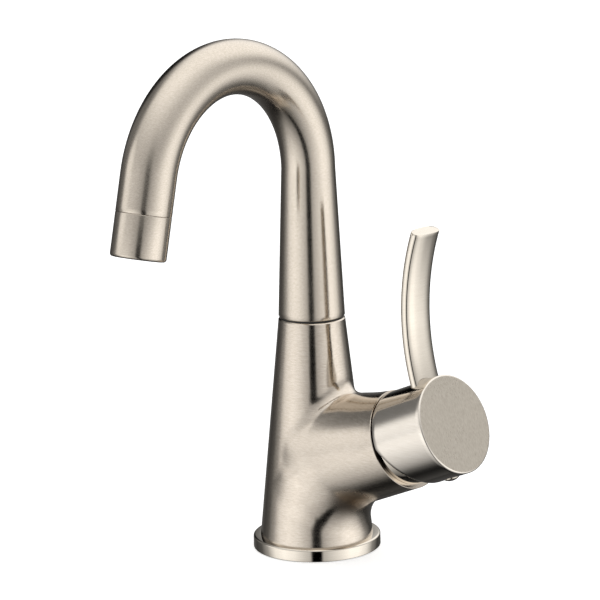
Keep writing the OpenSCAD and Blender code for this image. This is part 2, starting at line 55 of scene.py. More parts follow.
camera_distance, focal_pixels = 1.4473, 3112.3
shift_right, shift_down = 11.31, 4.11
aim = Vector((0, 0, 0.120))

away = Vector((
    math.sin(camera_turn) * math.cos(camera_height),
    -math.cos(camera_turn) * math.cos(camera_height),
    math.sin(camera_height),
))
level = Vector((math.cos(camera_turn), math.sin(camera_turn), 0))
upright = away.cross(level)
across = math.cos(camera_roll) * level - math.sin(camera_roll) * upright
raised = math.sin(camera_roll) * level + math.cos(camera_roll) * upright

camera = bpy.data.objects.new("camera", bpy.data.cameras.new("camera"))
bpy.context.scene.collection.objects.link(camera)
camera.data.sensor_width = film_width
camera.data.lens = focal_pixels / PICTURE * film_width
camera.data.shift_x = -shift_right / PICTURE
camera.data.shift_y = -shift_down / PICTURE
camera.data.clip_start, camera.data.clip_end = 0.05, 20
camera_place = Matrix((across, raised, away)).transposed().to_4x4()
camera_place.translation = aim + away * camera_distance
camera.matrix_world = camera_place
bpy.context.scene.camera = camera

# Studio
# A white table under soft light all round: one wide bright panel on the left of the camera,
# one on the right and one overhead, with a dark gap where the camera stands.


def add(tree, kind, inputs=None, stops=(), **settings):
    """Adds a node. Its inputs are values, or the outputs that are linked to them. The stops of
    a ramp are places from 0 to 1 along it, each with a grey."""
    new = tree.nodes.new(kind)
    for name, value in settings.items():
        setattr(new, name, value)
    for name, value in (inputs or {}).items():
        if isinstance(value, bpy.types.NodeSocket):
            tree.links.new(value, new.inputs[name])
        else:
            new.inputs[name].default_value = value
    if stops:
        elements = new.color_ramp.elements
        while len(elements) < len(stops):
            elements.new(0.5)
        for element, (position, grey) in zip(elements, stops):
            element.position = position
            element.color = (grey, grey, grey, 1)
    return new


bpy.context.scene.view_settings.view_transform = "Standard"
world = bpy.data.worlds.new("studio")
bpy.context.scene.world = world
world.use_nodes = True
sky = world.node_tree
sky.nodes.clear()
direction = add(sky, "ShaderNodeTexCoord").outputs["Generated"]
# Turned so that the way to the camera lies along X, where the angle round the tap is zero
turned_sky = add(sky, "ShaderNodeVectorRotate", {
    "Vector": direction, "Angle": math.pi / 2 - camera_turn}, rotation_type="Z_AXIS").outputs[0]
parts = add(sky, "ShaderNodeSeparateXYZ", {"Vector": turned_sky}).outputs
angle = add(sky, "ShaderNodeMath", {0: parts["Y"], 1: parts["X"]}, operation="ARCTAN2").outputs[0]
around = add(sky, "ShaderNodeMapRange", {
    "Value": angle, "From Min": -math.pi, "From Max": math.pi}).outputs[0]
rise = add(sky, "ShaderNodeMapRange", {"Value": parts["Z"], "From Min": -1, "From Max": 1}).outputs[0]

# The light of the walls by heading, in degrees to the right of the camera
panels = (
    (-175, 0.10), (-140, 0.04), (-120, 0.08), (-101, 0.30), (-82, 0.84), (-62, 1.0), (-43, 0.88),
    (-22, 0.56), (-13, 0.46), (-9, 0.0), (7, 0.0), (11, 0.42), (24, 0.58), (41, 0.78), (62, 1.05),
    (80, 1.05), (99, 0.78), (118, 0.22), (140, 0.04), (165, 0.06),
)
# How much of it there is at each height, and the light of the ceiling, both in degrees up
wall_heights = (
    (-90, 0.10), (-60, 0.38), (-45, 0.60), (-30, 0.82), (-20, 0.95), (-10, 1.0), (0, 0.85),
    (10, 0.52), (20, 0.28), (30, 0.1), (45, 0.0),
)
ceiling = ((0, 0.0), (10, 0.07), (20, 0.21), (30, 0.39), (45, 0.60), (60, 0.76), (90, 0.92))


def by_height(lights):
    """Stops for lights at heights in degrees, on the range that runs from nadir to zenith."""
    return [(0.5 + math.sin(math.radians(height)) / 2, grey) for height, grey in lights]


heading_stops = [(0.5 + heading / 360, grey) for heading, grey in panels]
headings = add(sky, "ShaderNodeValToRGB", {0: around}, heading_stops).outputs["Color"]
sides = add(sky, "ShaderNodeValToRGB", {0: rise}, by_height(wall_heights)).outputs["Color"]
overhead = add(sky, "ShaderNodeValToRGB", {0: rise}, by_height(ceiling)).outputs["Color"]
walls = add(sky, "ShaderNodeMix", {0: 1.0, 6: headings, 7: sides},
            data_type="RGBA", blend_type="MULTIPLY").outputs[2]
light = add(sky, "ShaderNodeMix", {0: 1.0, 6: walls, 7: overhead},
            data_type="RGBA", blend_type="ADD").outputs[2]

# Soft round patches in that light: heading, height and spread in degrees, and a grey
patches = (
    (145, 42, 48, 0.95),  # a white sweep high behind on the right
    (-88, 12, 22, 0.8),  # a small lamp on the left
    (-130, 26, 36, 0.13),  # two flags behind the lamp, which keep the light off
    (-160, 18, 26, 0.0),
)
for *degrees, grey in patches:
    heading, height, spread = (math.radians(a) for a in degrees)
    middle = (math.cos(height) * math.cos(heading), math.cos(height) * math.sin(heading), math.sin(height))
    near = add(sky, "ShaderNodeVectorMath", {0: turned_sky, 1: middle},
               operation="DOT_PRODUCT").outputs["Value"]
    share = add(sky, "ShaderNodeMapRange", {"Value": near, "From Min": math.cos(spread), "From Max": 1},
                interpolation_type="SMOOTHSTEP").outputs[0]
    light = add(sky, "ShaderNodeMix", {0: share, 6: light, 7: (grey, grey, grey, 1)},
                data_type="RGBA").outputs[2]

# The metal sees the studio, and the camera sees plain white behind the tap
studio = add(sky, "ShaderNodeBackground", {"Color": light, "Strength": 1.5})
white = add(sky, "ShaderNodeBackground", {"Color": (1, 1, 1, 1), "Strength": 1.0})
seen = add(sky, "ShaderNodeLightPath").outputs["Is Camera Ray"]
backdrop = add(sky, "ShaderNodeMixShader", {0: seen, 1: studio.outputs[0], 2: white.outputs[0]})
add(sky, "ShaderNodeOutputWorld", {"Surface": backdrop.outputs[0]})

# The table lies a hair under the deck plane. The metal mirrors the light below it instead of
# the table itself, as in a light tent.
table_side, table_drop = 6.0, 0.0002
bpy.ops.mesh.primitive_plane_add(size=table_side, location=(0, 0, -table_drop))
table = bpy.context.object
table.name = "white_table"
table.visible_glossy = False
# White laminate: matt, and lit up a little so that the tap's shadow stays faint
laminate = bpy.data.materials.new("white_table_laminate")
laminate.use_nodes = True
laminate.node_tree.nodes.clear()
matt = add(laminate.node_tree, "ShaderNodeBsdfDiffuse", {"Color": (0.9, 0.9, 0.9, 1)})
glow = add(laminate.node_tree, "ShaderNodeEmission", {"Color": (1, 1, 1, 1), "Strength": 0.45})
lit = add(laminate.node_tree, "ShaderNodeAddShader", {0: matt.outputs[0], 1: glow.outputs[0]})
add(laminate.node_tree, "ShaderNodeOutputMaterial", {"Surface": lit.outputs[0]})
table.data.materials.append(laminate)

# Base ring and its gasket
# A turned brass ring, nickel plated and polished brighter than the body, that the body
# stands on. A flat rubber gasket lies in a groove underneath and seals on the deck.
MM = 0.001
base_r, base_h, ring_bore_r = 30.0, 5.8, 24.0
gasket_out_r, gasket_in_r, gasket_h = 28.4, 25.2, 2.0
ring_round, foot_round, groove_round, ring_bore_round = 0.9, 0.35, 0.2, 0.1
ring_sides = 192


def eased(corners, pieces=5):
    """A closed outline from corners of (radius, height, rounding). A rounding takes up less than
    half of the side that it stands on, and is drawn in a few straight pieces."""
    most, done = 0.49, []
    for i, (*place, rounding) in enumerate(corners):
        here = Vector(place)
        one = Vector(corners[i - 1][:2]) - here
        two = Vector(corners[(i + 1) % len(corners)][:2]) - here
        if rounding <= 0:
            done.append(tuple(here))
            continue
        half = one.angle(two) / 2
        reach = min(rounding / math.tan(half), one.length * most, two.length * most)
        radius = reach * math.tan(half)
        centre = here + (one.normalized() + two.normalized()).normalized() * (radius / math.sin(half))
        start = here + one.normalized() * reach - centre
        end = here + two.normalized() * reach - centre
        for k in range(pieces + 1):
            turn = start.lerp(end, k / pieces).normalized() * radius
            done.append(tuple(centre + turn))
    return done


def made(name, points, faces, material, corner=35, weld=0.004):
    """A mesh object from points in millimetres. Points closer than weld become one, and edges
    sharper than corner degrees stay sharp."""
    mesh = bpy.data.meshes.new(name)
    mesh.from_pydata([tuple(c * MM for c in p) for p in points], [], faces)
    welded = bmesh.new()
    welded.from_mesh(mesh)
    bmesh.ops.remove_doubles(welded, verts=welded.verts, dist=weld * MM)
    bare = [e for e in welded.edges if e.is_wire]
    bmesh.ops.delete(welded, geom=bare, context="EDGES")
    welded.to_mesh(mesh)
    welded.free()
    mesh.validate()
    mesh.shade_smooth()
    mesh.set_sharp_from_angle(angle=math.radians(corner))
    mesh.materials.append(material)
    piece = bpy.data.objects.new(name, mesh)
    bpy.context.scene.collection.objects.link(piece)
    return piece


def rings_joined(count, sides, closed=True):
    """Faces between rings of points that lie one after the other."""
    faces = []
    for i in range(count if closed else count - 1):
        j = (i + 1) % count
        for k in range(sides):
            m = (k + 1) % sides
            faces.append((i * sides + k, i * sides + m, j * sides + m, j * sides + k))
    return faces


def spun(outline, sides, place=Matrix()):
    """A closed outline of (radius, height) turned once round the Z axis, then put in place."""
    points = []
    for radius, height in outline:
        for k in range(sides):
            a = 2 * math.pi * k / sides
            points.append(place @ Vector((radius * math.cos(a), radius * math.sin(a), height)))
    return points, rings_joined(len(outline), sides)


def linear(hex_colour):
    """An sRGB hex colour as the linear colour that Blender works in."""
    channels = [int(hex_colour[i : i + 2], 16) / 255 for i in (1, 3, 5)]
    return [c / 12.92 if c <= 0.04045 else ((c + 0.055) / 1.055) ** 2.4 for c in channels] + [1]


def brushed_metal(name, dark, light, roughness, grain, depth, streak=(1, 1, 1), wear=0.05):
    """Metal with fine marks. Grain is their size in mm and depth how far they tilt the light.
    Streak below 1 draws them out that way, and wear varies the polish in soft patches."""
    mark_height, worn_patch = 0.05, 22.2
    material = bpy.data.materials.new(name)
    material.use_nodes = True
    tree = material.node_tree
    tree.nodes.clear()
    where = add(tree, "ShaderNodeTexCoord").outputs["Object"]
    drawn_out = add(tree, "ShaderNodeMapping", {"Vector": where, "Scale": streak}).outputs[0]
    marks = add(tree, "ShaderNodeTexNoise", {
        "Vector": drawn_out, "Scale": 1 / (grain * MM), "Detail": 3, "Roughness": 0.6}).outputs[0]
    worn = add(tree, "ShaderNodeTexNoise", {
        "Vector": where, "Scale": 1 / (worn_patch * MM), "Detail": 2}).outputs[0]
    polish = add(tree, "ShaderNodeMapRange", {
        "Value": worn, "From Min": 0.3, "From Max": 0.7,
        "To Min": roughness - wear, "To Max": roughness + wear}).outputs[0]
    scratch = add(tree, "ShaderNodeMapRange", {
        "Value": marks, "From Min": 0.25, "From Max": 0.75, "To Min": -wear, "To Max": wear}).outputs[0]
    rough = add(tree, "ShaderNodeMath", {0: polish, 1: scratch}, operation="ADD").outputs[0]
    tone = add(tree, "ShaderNodeMapRange", {"Value": marks, "From Min": 0.3, "From Max": 0.7}).outputs[0]
    colour = add(tree, "ShaderNodeMix", {0: tone, 6: linear(dark), 7: linear(light)},
                 data_type="RGBA").outputs[2]
    bump = add(tree, "ShaderNodeBump", {
        "Height": marks, "Strength": depth, "Distance": mark_height * MM}).outputs[0]
    metal = add(tree, "ShaderNodeBsdfPrincipled", {
        "Base Color": colour, "Metallic": 1.0, "Roughness": rough, "Normal": bump})
    add(tree, "ShaderNodeOutputMaterial", {"Surface": metal.outputs[0]})
    return material


# Polished nickel plate on turned brass: clear reflections, broken only by faint level turning
# marks. Real ones of about 0.05 mm would not show, so they are drawn as coarse as 0.5 mm.
polished_nickel = brushed_metal("polished_nickel_plate", "#d8cfc2", "#ddd5c8", roughness=0.07, grain=0.5,
                                depth=0.04, streak=(0.08, 0.08, 1.0), wear=0.02)

ring_points, ring_faces = spun(eased([
    (ring_bore_r, 0, groove_round), (gasket_in_r, 0, groove_round), (gasket_in_r, gasket_h, 0),
    (gasket_out_r, gasket_h, 0), (gasket_out_r, 0, groove_round), (base_r, 0, foot_round),
    (base_r, base_h, ring_round), (ring_bore_r, base_h, ring_bore_round),
]), ring_sides)
base_ring = made("base_ring_turned", ring_points, ring_faces, polished_nickel)
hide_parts("base_ring")
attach(base_ring, "base")


def fine_grained(name, dark, light, roughness, ior, grain=0.55, strength=0.2, grain_height=0.03):
    """Rubber, plastic or ceramic: one colour that hardly varies, over a fine grain. The grain is
    in mm and coarser than the real one of about 0.1, so that it shows close up."""
    material = bpy.data.materials.new(name)
    material.use_nodes = True
    tree = material.node_tree
    tree.nodes.clear()
    where = add(tree, "ShaderNodeTexCoord").outputs["Object"]
    specks = add(tree, "ShaderNodeTexNoise", {
        "Vector": where, "Scale": 1 / (grain * MM), "Detail": 2}).outputs[0]
    colour = add(tree, "ShaderNodeMix", {0: specks, 6: linear(dark), 7: linear(light)},
                 data_type="RGBA").outputs[2]
    bump = add(tree, "ShaderNodeBump", {
        "Height": specks, "Strength": strength, "Distance": grain_height * MM}).outputs[0]
    surface = add(tree, "ShaderNodeBsdfPrincipled", {
        "Base Color": colour, "Roughness": roughness, "IOR": ior, "Normal": bump})
    add(tree, "ShaderNodeOutputMaterial", {"Surface": surface.outputs[0]})
    return material


def finished(material, *nodes):
    """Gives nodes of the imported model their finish."""
    for name in nodes:
        mesh = frame["nodes"][name].data
        mesh.materials.clear()
        mesh.materials.append(material)


# Moulded black rubber: matt and dusty, with the grain of the mould
moulded_rubber = fine_grained("moulded_black_rubber", "#141413", "#242422", roughness=0.6, ior=1.52,
                              grain=0.4, strength=0.3, grain_height=0.05)
finished(moulded_rubber, "base_gasket")

# Body
# One brass casting, brushed and satin nickel plated: a slim cone with a thick side boss that
# leans up at 22 degrees, flatter along its top. The metal flows from the cone into the boss in
# a broad soft fillet underneath and at the sides, which tightens towards the top.
joints = {joint["name"]: joint for joint in frame["joints"]}
foot_r, joint_r = 26.5, 15.5
joint_z = joints["spout_swivel"]["pos_m"][2] / MM
slide_below, slide_above = 0.4, 0.45
body_top = joint_z - slide_below
cone_slope = (foot_r - joint_r) / (joint_z - base_h)
# The boss points straight at the place where the lever tilts, and its rim stands round that
boss_tilt, top_lean = math.radians(22.4), math.radians(9.5)
boss_centre = np.array(joints["handle_lift"]["pos_m"]) / MM
boss_along = np.array([math.cos(boss_tilt), 0.0, math.sin(boss_tilt)])
boss_across = np.array([-math.sin(boss_tilt), 0.0, math.cos(boss_tilt)])
boss_r, edge, rim_edge = 22.9, 0.5, 0.2
# The bar that flattens the boss's upper side: its top line ends a hair under the rim's top
bar_r, bar_drop, bar_start = 21.0, 0.15, 9.0
bar_along = np.array([math.cos(top_lean), 0.0, math.sin(top_lean)])
bar_across = np.array([-math.sin(top_lean), 0.0, math.cos(top_lean)])
bar_end = boss_centre - boss_along * edge + boss_across * (boss_r - bar_drop) - bar_across * bar_r
# How far the blend reaches from the line where boss and cone meet, by how far the boss's face
# points up across it: from -1 underneath, over 0 at its sides, to 1 on top
facings = (-1.0, -0.8, -0.5, 0.0, 0.2, 0.4, 0.7, 0.9, 1.0)
reaches = (13.0, 12.5, 12.0, 13.0, 7.0, 4.5, 3.5, 5.0, 8.5)
# How far the bar blends into the boss, and over how much the one's face gives way to the other's
reach_bar, change_over = 12.0, 6.0
TINY = 1e-6


def cone_r(z):
    """The cone's radius at a height."""
    return foot_r - (z - base_h) * cone_slope


def from_bar(p, spot, way, radius):
    """Distance of points from a bar's surface, and the way straight out of it. The bar starts
    round inside the cone and runs on through the spot."""
    root = spot - way * (spot[0] - bar_start) / way[0]
    along = np.maximum((p - root) @ way, 0)
    aside = p - root - along[:, None] * way
    out = np.linalg.norm(aside, axis=1)
    return out - radius, aside / np.maximum(out, TINY)[:, None]


def filled(one, two, size):
    """Distance from two faces with the corner between them filled up, from size away."""
    near = np.minimum(one, two)
    return np.maximum(size, near) - np.hypot(np.maximum(size - one, 0), np.maximum(size - two, 0))


def spread_apart(one, two):
    """The sine of the angle between the ways out of two faces."""
    return np.sqrt(np.maximum(1 - np.sum(one * two, axis=1) ** 2, 0))


def blended(p):
    """Distance of points from the body's outside, below zero within it. A blend is as deep as
    its reach and the angle between the two faces make it."""
    fall = math.atan(cone_slope)
    out = np.hypot(p[:, 0], p[:, 1])
    to_cone = (out - cone_r(p[:, 2])) * math.cos(fall)
    outward = p[:, :2] / np.maximum(out, TINY)[:, None]
    cone_out = np.column_stack([outward, np.full(len(p), math.tan(fall))]) * math.cos(fall)
    to_boss, boss_out = from_bar(p, boss_centre, boss_along, boss_r)
    to_bar, bar_out = from_bar(p, bar_end, bar_along, bar_r)
    to_side = filled(to_boss, to_bar, reach_bar * spread_apart(boss_out, bar_out))
    share = np.clip(0.5 + (to_boss - to_bar) / change_over, 0, 1)[:, None]
    side_out = boss_out * (1 - share) + bar_out * share
    side_out /= np.maximum(np.linalg.norm(side_out, axis=1), TINY)[:, None]
    reach = np.interp(side_out @ boss_across, facings, reaches)
    return filled(to_cone, to_side, reach * spread_apart(cone_out, side_out))


def skinned(distance, low, high, step):
    """A mesh of quads over the surface where distance is zero: a point in every cell that the
    surface crosses, drawn on to the surface, joined round every grid edge that it cuts."""
    lines = [np.arange(low[i], high[i] + step, step) for i in range(3)]
    shape = tuple(len(line) for line in lines)
    grid = np.stack(np.meshgrid(*lines, indexing="ij"), -1)
    depth = distance(grid.reshape(-1, 3)).reshape(shape)
    inside = depth < 0
    total = np.zeros(tuple(n - 1 for n in shape) + (3,))
    count = np.zeros(total.shape[:3])
    quads = []
    for axis in range(3):
        first = [slice(None)] * 3
        second = [slice(None)] * 3
        first[axis], second[axis] = slice(0, -1), slice(1, None)
        first, second = tuple(first), tuple(second)
        cut = np.argwhere(inside[first] != inside[second])
        # Only the cuts with a cell on each of their four sides
        b, c = (axis + 1) % 3, (axis + 2) % 3
        cut = cut[(cut[:, b] > 0) & (cut[:, c] > 0) & (cut[:, b] < shape[b] - 1) & (cut[:, c] < shape[c] - 1)]
        at = tuple(cut.T)
        start, end = depth[first][at], depth[second][at]
        spot = grid[at].copy()
        spot[:, axis] += step * start / (start - end)
        corners = []
        for db, dc in ((0, 0), (-1, 0), (-1, -1), (0, -1)):
            cell = cut.copy()
            cell[:, b] += db
            cell[:, c] += dc
            cell = tuple(cell.T)
            np.add.at(total, cell, spot)
            np.add.at(count, cell, 1)
            corners.append(np.ravel_multi_index(cell, count.shape))
        quad = np.column_stack(corners)
        quads.append(np.where((start < 0)[:, None], quad, quad[:, ::-1]))
    used = np.flatnonzero(count.ravel() > 0)
    number = np.zeros(count.size, dtype=int)
    number[used] = np.arange(len(used))
    points = total.reshape(-1, 3)[used] / count.ravel()[used, None]
    rounds, nudge = 5, 0.01
    for _ in range(rounds):
        value = distance(points)
        nudged = [distance(points + way * nudge) for way in np.eye(3)]
        slope = (np.column_stack(nudged) - value[:, None]) / nudge
        points = points - slope * (value / np.maximum(np.sum(slope * slope, axis=1), TINY))[:, None]
    return points, number[np.vstack(quads)]


def trimmed(shape, at, way):
    """Cuts away what lies beyond a plane and returns the edges round the opening."""
    on_plane = 1e-5
    cut = bmesh.ops.bisect_plane(shape, geom=[*shape.verts, *shape.edges, *shape.faces], dist=on_plane,
                                 plane_co=at, plane_no=way, clear_outer=True)
    return [e for e in cut["geom_cut"] if isinstance(e, bmesh.types.BMEdge)]


def drawn_in(shape, edges, centre, way, radius):
    """Pulls a round rim on to a new circle: the next ring of a turned edge or a bore."""
    edges = [e for e in edges if e.is_valid]
    grown = bmesh.ops.extrude_edge_only(shape, edges=edges)["geom"]
    for v in (g for g in grown if isinstance(g, bmesh.types.BMVert)):
        flat = v.co - centre
        flat -= way * flat.dot(way)
        v.co = centre + flat.normalized() * radius
    return [g for g in grown if isinstance(g, bmesh.types.BMEdge) and g.is_boundary
            and all(v in grown for v in g.verts)]


def rod_between(a, b, radius, sides=64):
    """A plain round cutter from one point to another, used to drill the casting."""
    a, b = Vector(a), Vector(b)
    turn = (b - a).to_track_quat("Z", "Y").to_matrix().to_4x4()
    turn.translation = a
    points, faces = spun([(radius, 0), (radius, (b - a).length)], sides, turn)
    return points, faces[:sides] + [tuple(range(sides))[::-1], tuple(range(sides, 2 * sides))]


def drilled(piece, rods, corner=35):
    """Takes round holes out of a piece and leaves the cut mesh as its own. Each rod is where a
    drill starts, where it ends and its radius."""
    points, faces = [], []
    for rod in rods:
        more, sides = rod_between(*rod)
        faces += [tuple(i + len(points) for i in f) for f in sides]
        points += more
    cutter = made(piece.name + "_drill", points, faces, piece.data.materials[0])
    cut = piece.modifiers.new("drill", "BOOLEAN")
    cut.operation, cut.solver, cut.object = "DIFFERENCE", "EXACT", cutter
    # The rods run through each other
    cut.use_self = True
    bpy.context.view_layer.update()
    result = bpy.data.meshes.new_from_object(piece.evaluated_get(bpy.context.evaluated_depsgraph_get()))
    piece.modifiers.clear()
    piece.data = result
    result.shade_smooth()
    result.set_sharp_from_angle(angle=math.radians(corner))
    bpy.data.objects.remove(cutter)


def with_painted_shade(plate, share, colour, rougher):
    """Paints shade on a plate: lets it turn to another colour and grow rougher, by a share from 0 to 1 over it."""
    tree = plate.node_tree
    metal = tree.nodes["Principled BSDF"]
    bright, smooth = (metal.inputs[name].links[0].from_socket for name in ("Base Color", "Roughness"))
    mixed = add(tree, "ShaderNodeMix", {0: share, 6: bright, 7: linear(colour)}, data_type="RGBA")
    tree.links.new(mixed.outputs[2], metal.inputs["Base Color"])
    rough = add(tree, "ShaderNodeMath", {0: share, 1: rougher, 2: smooth}, operation="MULTIPLY_ADD")
    tree.links.new(rough.outputs[0], metal.inputs["Roughness"])


# Satin nickel plate over a brushed casting: soft reflections broken up by short level marks.
# Real marks of about 0.1 mm would not show, so they are drawn as coarse as 0.6 mm. In the corner under the boss
# the plate is rougher, and it is painted darker and browner as painted shade.
satin_nickel = brushed_metal("satin_nickel_plate", "#c9beb0", "#d7cdc0", roughness=0.16, grain=0.6,
                             depth=0.08, streak=(0.22, 0.22, 1.0), wear=0.02)
tree = satin_nickel.node_tree
# Painted shade: the plate turns darker and browner towards a spot in the corner under the boss
corner_spot, corner_core, corner_reach = (33.5, -11.5, 28.5), 5.0, 15.0
where = add(tree, "ShaderNodeTexCoord").outputs["Object"]
from_corner = add(tree, "ShaderNodeVectorMath", {0: where, 1: tuple(c * MM for c in corner_spot)},
                  operation="DISTANCE").outputs["Value"]
corner_painted_shade = add(tree, "ShaderNodeMapRange", {
    "Value": from_corner, "From Min": corner_reach * MM, "From Max": corner_core * MM, "To Max": 0.8,
}, interpolation_type="SMOOTHSTEP").outputs[0]
with_painted_shade(satin_nickel, corner_painted_shade, "#62554a", rougher=0.25)

# The faced end of the boss: its own colour low down, where the gap under the handle is wide, and painted a dark
# brown as painted shade in the gap's narrow upper part
rim_face_painted_shade = brushed_metal("nickel_face_painted_shade", "#cbc0b2", "#dad0c3", roughness=0.2, grain=0.4, depth=0.1)
tree = rim_face_painted_shade.node_tree
rim_height = float(boss_centre @ boss_across)
unshaded_below, shaded_above = rim_height - 16, rim_height - 9
where = add(tree, "ShaderNodeTexCoord").outputs["Object"]
raised_by = add(tree, "ShaderNodeVectorMath", {0: where, 1: tuple(boss_across)},
                operation="DOT_PRODUCT").outputs["Value"]
gap_painted_shade = add(tree, "ShaderNodeMapRange", {
    "Value": raised_by, "From Min": unshaded_below * MM, "From Max": shaded_above * MM}).outputs[0]
with_painted_shade(rim_face_painted_shade, gap_painted_shade, "#1c1712", rougher=0.0)

# The block that the casting's skin is looked for in, with some room round it, and its grid
skin_low, skin_high, skin_grid = (-28.5, -28.5, 3.5), (69.0, 28.5, 112.5), 1.25
skin_points, skin_faces = skinned(blended, skin_low, skin_high, skin_grid)
body_mesh = bpy.data.meshes.new("body_casting")
body_mesh.from_pydata(skin_points.tolist(), [], skin_faces.tolist())
casting = bmesh.new()
casting.from_mesh(body_mesh)

# Its open ends: the foot with the spigot that sits in the base ring, the joint and the rim
deck, up, boss_way, rim = Vector(), Vector((0, 0, 1)), Vector(boss_along), Vector(boss_centre)
spigot_r = ring_bore_r - 0.05
foot_edges = trimmed(casting, up * base_h, -up)
joint_edges = trimmed(casting, up * (body_top - edge), up)
rim_edges = trimmed(casting, rim - boss_way * rim_edge, boss_way)
loose = [v for v in casting.verts if not v.link_faces]
bmesh.ops.delete(casting, geom=loose, context="VERTS")
foot_edges = drawn_in(casting, foot_edges, up * base_h, up, spigot_r)
foot_edges = drawn_in(casting, foot_edges, deck, up, spigot_r)
joint_edges = drawn_in(casting, joint_edges, up * body_top, up, cone_r(body_top) - edge)
rim_edges = drawn_in(casting, rim_edges, rim, boss_way, boss_r - rim_edge)
for edges in (foot_edges, joint_edges, rim_edges):
    bmesh.ops.edgeloop_fill(casting, edges=edges)
bmesh.ops.recalc_face_normals(casting, faces=casting.faces)
casting.to_mesh(body_mesh)
casting.free()
body_mesh.transform(Matrix.Scale(MM, 4))
body_mesh.materials.append(satin_nickel)
body = bpy.data.objects.new("body_casting", body_mesh)
bpy.context.scene.collection.objects.link(body)

# Bored and drilled: the seats of cartridge and nut, the spout's socket, its grub screw at the
# back, and the threaded holes in the foot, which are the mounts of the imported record
cartridge_r, cartridge_depth, nut_r, nut_depth = 17.7, 29.5, 20.0, 5.5
tail_r, tail_depth, screw_r, screw_drop, screw_reach = 11.0, 22.4, 2.5, 4.4, 20.0
past = 2.0


def along_boss(distance):
    """A place on the boss's middle line, at a distance outwards from its rim."""
    return tuple(boss_centre + boss_along * distance)


holes = [
    (along_boss(-cartridge_depth), along_boss(past), cartridge_r),
    (along_boss(-nut_depth), along_boss(past), nut_r),
    ((0, 0, joint_z - tail_depth), (0, 0, joint_z + past), tail_r),
    ((0, tail_r / 2, joint_z - screw_drop), (0, screw_reach, joint_z - screw_drop), screw_r),
]
for mount in frame["record"]["mounts"]:
    if mount["kind"] == "threaded_hole":
        mouth, size = Vector(mount["pos_m"]) / MM, mount["dims"]
        holes.append((mouth - up * past, mouth + up * size["length_mm"], size["r_mm"]))
drilled(body, holes)
# The rim's flat end takes the face with painted shade in the narrow gap under the handle
body.data.materials.append(rim_face_painted_shade)
faced, skin_deep = 0.99, 0.05
for polygon in body.data.polygons:
    inward = (rim * MM - polygon.center).dot(boss_way)
    if polygon.normal.dot(boss_way) > faced and inward < skin_deep * MM:
        polygon.material_index = len(body.data.materials) - 1
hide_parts("body")
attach(body, "base")

# Swivel joint
# A black slide ring lies between the body and the spout and shows as a fine dark line. The
# turned brass tail with its two seals turns in the body, held by a grub screw at the back.

# Turned brass: warm and half bright, with level turning marks drawn as coarse as 0.4 mm
turned_brass = brushed_metal("turned_brass", "#b08a3e", "#c9a457", roughness=0.24, grain=0.4, depth=0.3,
                             streak=(0.1, 0.1, 1.0))
# Turned stainless steel: a colder grey, with the same marks but shorter
stainless_steel = brushed_metal("turned_stainless_steel", "#9fa1a2", "#b9bbbc", roughness=0.22, grain=0.4,
                                depth=0.3, streak=(0.2, 0.2, 1.0))
finished(moulded_rubber, "spout_bearing_ring", "spout_o_rings")
finished(turned_brass, "spout_tail")
finished(stainless_steel, "spout_set_screw")

# Spout
# A brass tube, tapered up from the joint, bent over in one even arch and cut off leaning
# slightly outwards. It is brushed and satin nickel plated as one piece.
spout_z, arch_z, arch_r = joint_z + slide_above, 180.5, 53.2
tube_r, tube_wall, tube_sides = 12.5, 1.9, 96
arch_turn = math.radians(166.6)
outlet_run, outlet_edge = 17.3, 0.3
socket_r, socket_depth = 11.6, 12.5
outlet_seat_r, outlet_seat_depth = 11.0, 8.5
rise_length, arch_length = arch_z - spout_z, arch_r * arch_turn
arch_end = rise_length + arch_length
whole = arch_end + outlet_run
arch_centre = Vector((0, -arch_r, arch_z))
sideways = Vector((1, 0, 0))


def spout_ring(length, radius):
    """A ring of points round the spout's middle line, at a length along it from the joint."""
    bend = min(max((length - rise_length) / arch_r, 0), arch_turn)
    outward = Vector((0, math.cos(bend), math.sin(bend)))
    onward = Vector((0, -math.sin(bend), math.cos(bend)))
    middle = arch_centre + outward * arch_r + onward * max(length - arch_end, 0)
    if length < rise_length:
        middle.z = spout_z + length
    turns = (2 * math.pi * k / tube_sides for k in range(tube_sides))
    return [middle + radius * (math.cos(a) * sideways + math.sin(a) * outward) for a in turns]


def steps(start, end, count):
    """Places from start to end in even steps, without the start itself."""
    return [start + (end - start) * i / count for i in range(1, count + 1)]


bore_r = tube_r - tube_wall
# The middle of each round edge: how far it is short of the tube's end and back from its side
joint_short, joint_back, outlet_short, outlet_back = 0.15, 0.2, 0.1, 0.08
outside = [(0, joint_r - edge), (joint_short, joint_r - joint_back), (edge, joint_r)]
outside += zip(steps(edge, rise_length, 30), steps(joint_r, tube_r, 30))
outside += [(length, tube_r) for length in steps(rise_length, arch_end, 110)]
outside += [(length, tube_r) for length in steps(arch_end, whole - outlet_edge, 8)]
outside += [(whole - outlet_short, tube_r - outlet_back), (whole, tube_r - outlet_edge)]
seat_end = whole - outlet_seat_depth
bore = [(whole, outlet_seat_r), (seat_end, outlet_seat_r), (seat_end, bore_r)]
bore += [(length, bore_r) for length in [arch_end] + steps(arch_end, rise_length, 40)]
bore += [(socket_depth, bore_r), (socket_depth, socket_r), (0, socket_r)]
tube_points = [p for length, radius in outside + bore for p in spout_ring(length, radius)]
tube_faces = rings_joined(len(outside + bore), tube_sides)
# Satin nickel on the drawn tube: shorter marks than on the casting, and as soft a gloss. They
# too are drawn coarser than the real ones, at 0.5 mm.
satin_tube = brushed_metal("satin_nickel_tube", "#c7bdaf", "#d5cbbe", roughness=0.20, grain=0.5, depth=0.09,
                           streak=(0.4, 0.4, 1.0), wear=0.03)
spout = made("spout_tube", tube_points, tube_faces, satin_tube)
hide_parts("spout")
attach(spout, "spout_body")

